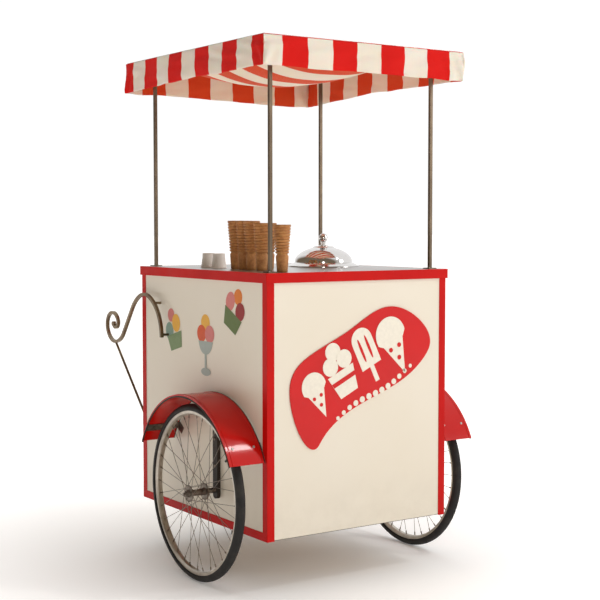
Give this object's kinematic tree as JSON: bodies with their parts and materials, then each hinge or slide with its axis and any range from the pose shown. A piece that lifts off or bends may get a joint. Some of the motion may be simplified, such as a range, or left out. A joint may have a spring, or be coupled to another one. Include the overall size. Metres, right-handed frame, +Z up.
{
  "type": "push vending cart",
  "caption": "Push cart for selling ice cream: boxed cabinet between two spoked wheels, lidded cold well, scroll handles and a valanced fabric canopy on four posts.",
  "frame": {"origin": "on the floor below the centre of the whole cart's box", "axes": "+Z up, +X across the cart towards its right wheel as seen from behind, +Y from the customer's side to the vendor's side"},
  "size_m": [1.096, 1.2537, 1.95],
  "materials": {
    "red_paint": "gloss",
    "cream_panel": "satin",
    "bronze": "hammered antique",
    "steel_sheet": "brushed",
    "chrome": "polished",
    "zinc": "satin",
    "black_metal": "satin",
    "alu": "satin",
    "tyre": "matt",
    "rubber": "matt",
    "wood": "matt",
    "foam": "matt",
    "canvas": "woven",
    "wafer": "matt",
    "paper": "matt"
  },
  "bodies": {
    "cart": {"base_frame": "black_metal", "stand_bracket": "black_metal", "wheel_bracket_left": "black_metal", "wheel_bracket_right": "black_metal", "floor_board": "wood", "corner_uprights": "wood", "top_frame": "wood", "counter_core": "wood", "well_shelf": "wood", "shelf_cleats": "wood", "front_panel": "cream_panel", "left_panel": "cream_panel", "right_panel": "cream_panel", "rear_panel": "cream_panel", "edge_trims": "red_paint", "counter_band": "red_paint", "fender_left": "red_paint", "fender_right": "red_paint", "front_sign": "red_paint", "counter_sheet": "steel_sheet", "gelato_tub": "steel_sheet", "insulation_jacket": "foam", "axles": "zinc", "axle_nuts": "zinc", "bracket_bolts": "zinc", "fender_straps": "zinc", "fender_screws": "zinc", "dome_screws": "zinc", "frame_hinge_leaves": "zinc", "hinge_pins": "zinc", "stand_pin": "zinc", "handle_left": "bronze", "handle_right": "bronze", "handle_studs": "bronze", "handle_struts": "bronze", "canopy_posts": "bronze", "canopy_frame": "alu", "canopy": "canvas", "cone_stacks": "wafer", "paper_cups": "paper"},
    "wheel_left": {"tyre_left": "tyre", "inner_tube_left": "rubber", "rim_left": "alu", "spokes_left": "zinc", "hub_left": "zinc", "bearings_left": "zinc"},
    "wheel_right": {"tyre_right": "tyre", "inner_tube_right": "rubber", "rim_right": "alu", "spokes_right": "zinc", "hub_right": "zinc", "bearings_right": "zinc"},
    "lid": {"dome_lid": "chrome", "lid_knob": "chrome"},
    "door": {"rear_door": "cream_panel", "door_knob": "chrome", "door_hinge_leaves": "zinc"},
    "stand": {"stand_leg": "black_metal", "stand_foot": "rubber"}
  },
  "joints": [
    {"name": "left_wheel_spin", "type": "hinge", "parent": "cart", "child": "wheel_left", "pos_m": [-0.492, -0.24085, 0.325], "axis": [1, 0, 0], "continuous": true},
    {"name": "right_wheel_spin", "type": "hinge", "parent": "cart", "child": "wheel_right", "pos_m": [0.492, -0.24085, 0.325], "axis": [1, 0, 0], "continuous": true},
    {"name": "lid_lift", "type": "slide", "parent": "cart", "child": "lid", "axis": [0, 0, 1], "range_m": [0, 0.35]},
    {"name": "rear_door_hinge", "type": "hinge", "parent": "cart", "child": "door", "pos_m": [0.301, 0.35895, 0.6], "axis": [0, 0, -1], "range_deg": [0, 105]},
    {"name": "stand_fold", "type": "hinge", "parent": "cart", "child": "stand", "pos_m": [0, 0.27415, 0.168], "axis": [-1, 0, 0], "range_deg": [0, 88]}
  ]
}
